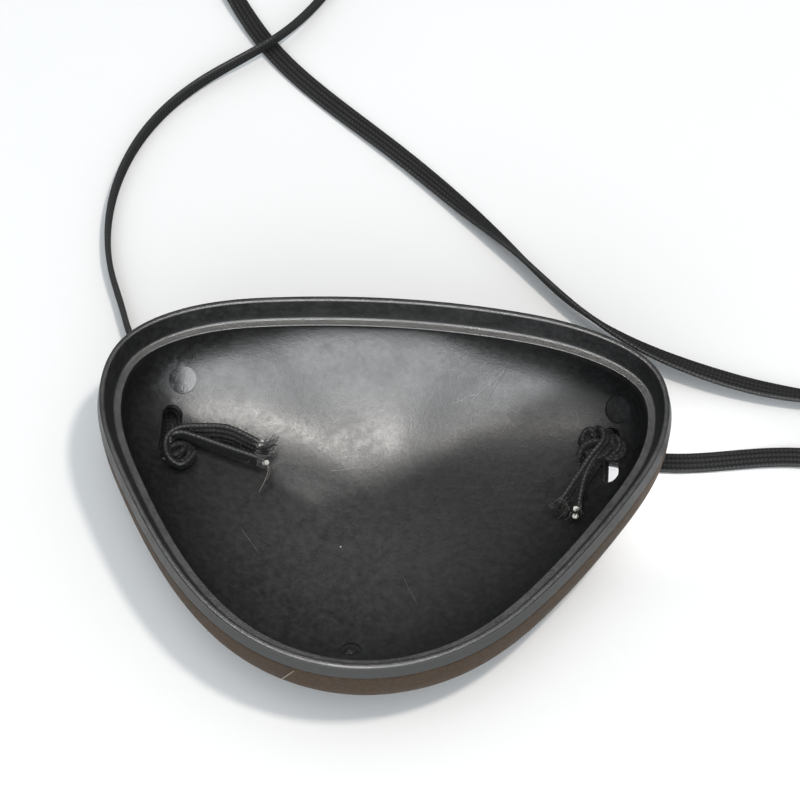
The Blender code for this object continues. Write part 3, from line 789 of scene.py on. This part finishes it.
def ribbed_section(width):
    """Points round the band's section: across it and out of its face, in mm."""
    across = np.linspace(-1, 1, RIBS * RIB_STEPS + 1)
    reach = np.abs(across)
    swell = (1 - reach ** 5) ** 0.5
    groove = 1 - RIB_GROOVE * np.abs(np.cos(math.pi * RIBS * (across + 1) / 2)) ** 3
    outer_rib = 1 - 1 / RIBS
    selvedge = np.maximum(groove, 1 - SELVEDGE_FALL * (reach - outer_rib) * RIBS)
    heights = BAND_THICKNESS / 2 * swell * np.where(reach > outer_rib, selvedge, groove)
    section = list(zip(across, heights))
    section += [(a, -h) for a, h in section[-2:0:-1]]
    return np.array(section) * (width / 2, 1)


def ribbon(name, path, sides, material, width=BAND_WIDTH):
    """A ribbed band along path, in mm, with closed ends. sides are its directions across."""
    along = unit(np.gradient(path, axis=0))
    sides = unit(sides - along * (sides * along).sum(axis=1)[:, None])
    faces_out = np.cross(sides, along)
    section = ribbed_section(width)
    count, rings = len(section), len(path)
    points = (path[:, None, :] + sides[:, None, :] * section[None, :, :1]
              + faces_out[:, None, :] * section[None, :, 1:]).reshape(-1, 3)
    points = np.vstack([points, path[0], path[-1]]) * MM
    faces = []
    for ring in range(rings - 1):
        for i in range(count):
            j = (i + 1) % count
            low, high = ring * count, (ring + 1) * count
            faces.append((low + i, high + i, high + j, low + j))
    first, last = rings * count, rings * count + 1
    for i in range(count):
        j = (i + 1) % count
        faces.append((first, i, j))
        faces.append((last, (rings - 1) * count + j, (rings - 1) * count + i))
    mesh = bpy.data.meshes.new(name)
    mesh.from_pydata(points.tolist(), [], faces)
    travel = np.concatenate([[0], np.cumsum(np.linalg.norm(np.diff(path, axis=0), axis=1))])
    lay = np.column_stack([np.tile(section[:, 0] + width / 2, rings), np.repeat(travel, count)])
    lay = np.vstack([lay, [(0, travel[0]), (0, travel[-1])]])
    corners = np.zeros(len(mesh.loops), dtype=np.int32)
    mesh.loops.foreach_get("vertex_index", corners)
    mesh.uv_layers.new(name="lay").data.foreach_set("uv", lay[corners].astype(np.float32).ravel())
    smooth(mesh, 60)
    return add_object(name, mesh, material)


def resting_height(lift, tilt):
    turn = math.radians(tilt)
    reach = BAND_WIDTH / 2 * abs(math.sin(turn)) + BAND_THICKNESS / 2 * abs(math.cos(turn))
    return reach + BAND_CLEARANCE + lift


def laid(route, count):
    """count points along a tilted route, and the band's direction across at each."""
    path = smooth_curve(route, count)
    return path[:, :3], ribbon_sides(path[:, :3], path[:, 3])


def make_band(material):
    route = [(x, y, resting_height(lift, tilt), tilt) for x, y, lift, tilt in BAND_ROUTE]
    path, sides = laid(route, BAND_RINGS)
    band = ribbon("braided_elastic", path, sides, material)
    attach(band, "patch")
    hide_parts("elastic_band")


# --- Knots and tails ---
def strip(name, route, material, width, count):
    """A strip of the elastic that hangs from its upper edge, which follows the route."""
    path, sides = laid(route, count)
    return ribbon(name, path - sides * width / 2, sides, material, width)


def make_neck(side, material):
    """The band's end, which twists on its way up through its slot."""
    path = smooth_curve(NECKS[side], NECK_RINGS)
    share = np.clip((path[:, 2] - NECK_BEND[0]) / (NECK_BEND[1] - NECK_BEND[0]), 0, 1)
    turn = np.radians(NECK_TWIST[side] * (share - 1))[:, None]
    sides = np.cos(turn) * (0, 1, 0) + np.sin(turn) * (1, 0, 0)
    neck = ribbon(f"{side}_neck", path, sides, material)
    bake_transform(neck)


def make_knot(side, folds, material):
    """The turns of the knot that lie inside its two tied strips."""
    made = [strip(f"{side}_knot_{name}", route, material, FOLD_WIDTH, FOLD_RINGS)
            for name, route in folds.items()]
    for number, (x, y, height, radius) in enumerate(KNOT_COILS[side], 1):
        turns = np.linspace(0, COIL_TURN, COIL_RINGS)
        path = np.column_stack([x + radius * np.cos(turns), y + radius * np.sin(turns),
                                height + COIL_RISE * turns])
        sides = np.column_stack([np.cos(turns), np.sin(turns), np.full(COIL_RINGS, 0.25)])
        made.append(ribbon(f"{side}_knot_coil_{number}", path, unit(sides), material, COIL_WIDTH))
    for piece in made:
        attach(piece, f"{side}_knot")
    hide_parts(f"{side}_knot")


def make_tail(name, route, node, material):
    """A tied strip that runs out of its knot as a tail."""
    tail = strip(name, route, material, BAND_WIDTH, TAIL_RINGS)
    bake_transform(tail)
    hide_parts(node)


def strip_end(route):
    """Matrix at the middle of a strip's cut end: X across it, Y out of its face, Z outward."""
    path, sides = laid(route, 60)
    side = sides[-1]
    along = unit(path[-1:] - path[-2:-1])[0]
    placed = Matrix((side, np.cross(along, side), along)).transposed().to_4x4()
    placed.translation = path[-1] - side * BAND_WIDTH / 2
    return placed


def fibres(name, strands, material, body, corners=7):
    """Thin round threads as one mesh. Each strand is its points in mm, radius and tip share."""
    points, faces = [], []
    for route, radius, tip in strands:
        path = smooth_curve([tuple(point) for point in route], 5 * len(route))
        along = unit(np.gradient(path, axis=0))
        first = unit(np.cross(along, (0.31, -0.54, 0.78)))
        second = np.cross(along, first)
        base = len(points)
        for place, a, b, share in zip(path, first, second, np.linspace(0, 1, len(path))):
            reach = radius * (1 - (1 - tip) * share ** 2)
            for step in range(corners):
                turn = 2 * math.pi * step / corners
                points.append(place + (a * math.cos(turn) + b * math.sin(turn)) * reach)
        for ring in range(len(path) - 1):
            for i in range(corners):
                j = (i + 1) % corners
                low, high = base + ring * corners, base + (ring + 1) * corners
                faces.append((low + i, low + j, high + j, high + i))
        faces.append(tuple(base + i for i in reversed(range(corners))))
        faces.append(tuple(len(points) - corners + i for i in range(corners)))
    mesh = bpy.data.meshes.new(name)
    mesh.from_pydata((np.array(points) * MM).tolist(), [], faces)
    smooth(mesh, 60)
    piece = add_object(name, mesh, material)
    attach(piece, body)
    return piece


def frayed_yarns(route, count, reach, lean, source, radius):
    """Yarns that fan out of a strip's cut end. lean is the way they droop or lift, in mm."""
    end = strip_end(route)
    strands = []
    for _ in range(count):
        across = source.uniform(-0.46, 0.46) * BAND_WIDTH
        depth = source.uniform(-0.3, 0.3)
        out = source.uniform(0.35, 1.0) * reach
        fan = source.gauss(0, 0.3) * out
        lift = source.gauss(0, 0.3) * out
        start = end @ Vector((across, depth, -0.5))
        middle = end @ Vector((across * 1.05 + 0.2 * fan, depth + 0.2 * lift, 0.45 * out))
        tip = end @ Vector((across * 1.15 + fan, depth + lift, out)) + Vector(lean) * out / reach
        strands.append(([start, middle, tip], source.uniform(*radius), YARN_TIP))
    return strands


def loose_fuzz(route, count, source, first):
    """Short fine hairs that stand off a strip, all along it from the share first."""
    path, sides = laid(route, 200)
    last = len(path) - 1
    along = unit(np.gradient(path, axis=0))
    strands = []
    for _ in range(count):
        i = source.randrange(int(first * last), last)
        side, ahead = sides[i], along[i]
        out = np.cross(ahead, side) * source.choice((-1, 1))
        root = path[i] - side * source.uniform(-0.02, 0.9) * BAND_WIDTH + out * 0.3
        way = unit(np.array([[source.gauss(0, 1), source.gauss(0, 1), source.gauss(0.3, 1)]]))[0]
        length = source.uniform(0.35, 0.9)
        middle = root + (out * 0.6 + side * 0.5) * length * 0.5
        strands.append(([root, middle, middle + (way + side * 0.5) * length * 0.5],
                        source.uniform(0.014, 0.028), 0.5))
    return strands


def make_ends(side, yarn, rubber):
    """Frayed yarns, fuzz and rubber strands of a knot's two cut ends. Gives back the rubber."""
    source = random.Random(SEEDS[side])
    strands = []
    for route, count, reach, lean in YARNS[side]:
        strands += frayed_yarns(route, count, reach, lean, source, YARN_RADIUS[side])
    for route, count, first in FUZZ[side]:
        strands += loose_fuzz(route, count, source, first)
    fibres(f"{side}_frayed_yarns", strands, yarn, f"{side}_tails")
    cores = [(route, RUBBER_RADIUS, RUBBER_TIP) for route in RUBBER_STRANDS[side]]
    return fibres(f"{side}_rubber_ends", cores, rubber, f"{side}_tails", 16)


def make_drooping_strands(material):
    strands = [(route, radius, YARN_TIP) for route, radius in DROOPING_STRANDS]
    fibres("left_drooping_strand", strands, material, "left_tails")


def make_elastic(braid):
    make_band(braid)
    for side, folds in (("left", LEFT_FOLDS), ("right", RIGHT_FOLDS)):
        make_neck(side, braid)
        make_knot(side, folds, braid)
    make_tail("left_tail_far", LEFT_FAR_STRIP, "left_tail_upper", braid)
    make_tail("left_tail_near", LEFT_NEAR_STRIP, "left_tail_lower", braid)
    make_tail("right_tail_left_braid", RIGHT_LEFT_STRIP, "right_tail_left", braid)
    make_tail("right_tail_right_braid", RIGHT_RIGHT_STRIP, "right_tail_right", braid)
    yarn = thread_material("black_yarn", (0.008, 0.008, 0.008), (0.03, 0.028, 0.026))
    brown = thread_material("brown_strand", (0.012, 0.008, 0.006), (0.045, 0.032, 0.022))
    rubber = rubber_material()
    cores = make_ends("left", yarn, rubber)
    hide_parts("left_core_upper", "left_core_lower")
    make_drooping_strands(brown)
    cores = make_ends("right", yarn, rubber)
    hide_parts("right_core_left", "right_core_right")


def make_lint():
    """Pale hair that clings to the near side, over the facing and the foot of the rim."""
    ring = offset_ring(LIP, HAIR_OFFSET)
    front = ring[ring[:, 1] < 0]
    route = [(x, float(np.interp(x, front[:, 0], front[:, 1])), height) for x, height in HAIR]
    pale = thread_material("pale_hair", (0.32, 0.27, 0.2), (0.5, 0.44, 0.34))
    fibres("lint_hair", [(route, HAIR_RADIUS, YARN_TIP)], pale, "patch")


# --- Stage ---
# Lamps only light surfaces, and cards only show as reflections: name, direction from the
# patch, distance and size in m, radiance, colour.
LAMPS = [("key", (0.31, 0.02, 0.95), 1.2, (0.1, 0.1), 185.0, (1.0, 0.93, 0.86)),
         ("overhead", (0.0, 0.0, 1.0), 1.0, (1.4, 1.4), 0.62, (0.9, 0.96, 1.0)),
         ("front_fill", (-0.1, -0.8, 0.6), 1.0, (1.1, 0.6), 1.7, (0.9, 0.96, 1.0))]
CARDS = [("low_card", (0.0, -0.8, 0.6), 0.9, (0.68, 0.98), 9.5, (0.97, 0.99, 1.0)),
         ("high_card", (-0.06, -0.14, 0.98), 0.9, (0.46, 0.54), 10.5, (1.0, 1.0, 1.0)),
         ("warm_card", (-0.13, -0.01, 0.99), 0.9, (0.22, 0.28), 26.0, (1.0, 0.94, 0.86))]
BEAM_FROM = (0.8, -0.05, 0.6)  # direction of the slot's spotlight from the slot
BEAM_DISTANCE = 0.6  # m
BEAM_WATTS = 24.0
BEAM_SPREAD = 2.0  # degrees


def aimed(name, data, place, away):
    """A camera or light at place, in m, that looks back along away."""
    item = bpy.data.objects.new(name, data)
    bpy.context.scene.collection.objects.link(item)
    item.location = place
    item.rotation_euler = (-away).to_track_quat("-Z", "Y").to_euler()
    return item


def make_camera():
    azimuth, elevation = math.radians(CAMERA_AZIMUTH), math.radians(CAMERA_ELEVATION)
    back = Vector((math.sin(azimuth) * math.cos(elevation),
                   -math.cos(azimuth) * math.cos(elevation), math.sin(elevation)))
    data = bpy.data.cameras.new("camera")
    data.lens = CAMERA_LENS
    data.sensor_width = 36
    data.clip_start = 0.01
    data.clip_end = 20
    place = (Vector(CAMERA_TARGET) + back * CAMERA_DISTANCE) * MM
    bpy.context.scene.camera = aimed("camera", data, place, back)


def make_floor():
    graph = Graph("white_table", Roughness=0.55, Specular_IOR_Level=0.25)
    graph.set("Base Color", graph.blend(graph.noise(120.0), (0.86, 0.86, 0.865), (0.89, 0.89, 0.89)))
    bm = bmesh.new()
    bmesh.ops.create_grid(bm, x_segments=1, y_segments=1, size=2.5)
    floor = add_object("floor", mesh_from_bmesh("floor", bm), graph.material)


def area_light(name, toward, distance, size, radiance, colour, reflected):
    """Soft rectangular light aimed at the patch from the direction toward (+Y is behind it)."""
    away = Vector(toward).normalized()
    data = bpy.data.lights.new(name, "AREA")
    data.shape = "RECTANGLE"
    data.size, data.size_y = size
    data.energy = radiance * math.pi * size[0] * size[1]
    data.color = colour
    light = aimed(name, data, away * distance, away)
    light.visible_glossy = reflected
    light.visible_diffuse = not reflected
    light.visible_camera = False


def slot_light():
    """Narrow beam, low from the right, onto the floor that shows through the right slot."""
    data = bpy.data.lights.new("slot_light", "SPOT")
    data.energy = BEAM_WATTS
    data.spot_size = math.radians(BEAM_SPREAD)
    data.spot_blend = 0.5
    data.shadow_soft_size = 0.01
    away = Vector(BEAM_FROM).normalized()
    place = Vector((*SLOTS["right"], 0)) * MM + away * BEAM_DISTANCE
    aimed("slot_light", data, place, away).visible_glossy = False


def make_lights():
    slot_light()
    for lamp in LAMPS:
        area_light(*lamp, reflected=False)
    for card in CARDS:
        area_light(*card, reflected=True)
    world = bpy.data.worlds.new("studio")
    world.use_nodes = True
    background = world.node_tree.nodes["Background"]
    background.inputs["Color"].default_value = (0.9, 0.96, 1.0, 1.0)
    background.inputs["Strength"].default_value = 0.42
    bpy.context.scene.world = world
    bpy.context.scene.view_settings.view_transform = "Standard"


def main():
    make_camera()
    make_elastic(elastic_material())
    make_shell(shell_material())
    make_cover(cover_material())
    make_lint()
    make_floor()
    make_lights()


main()
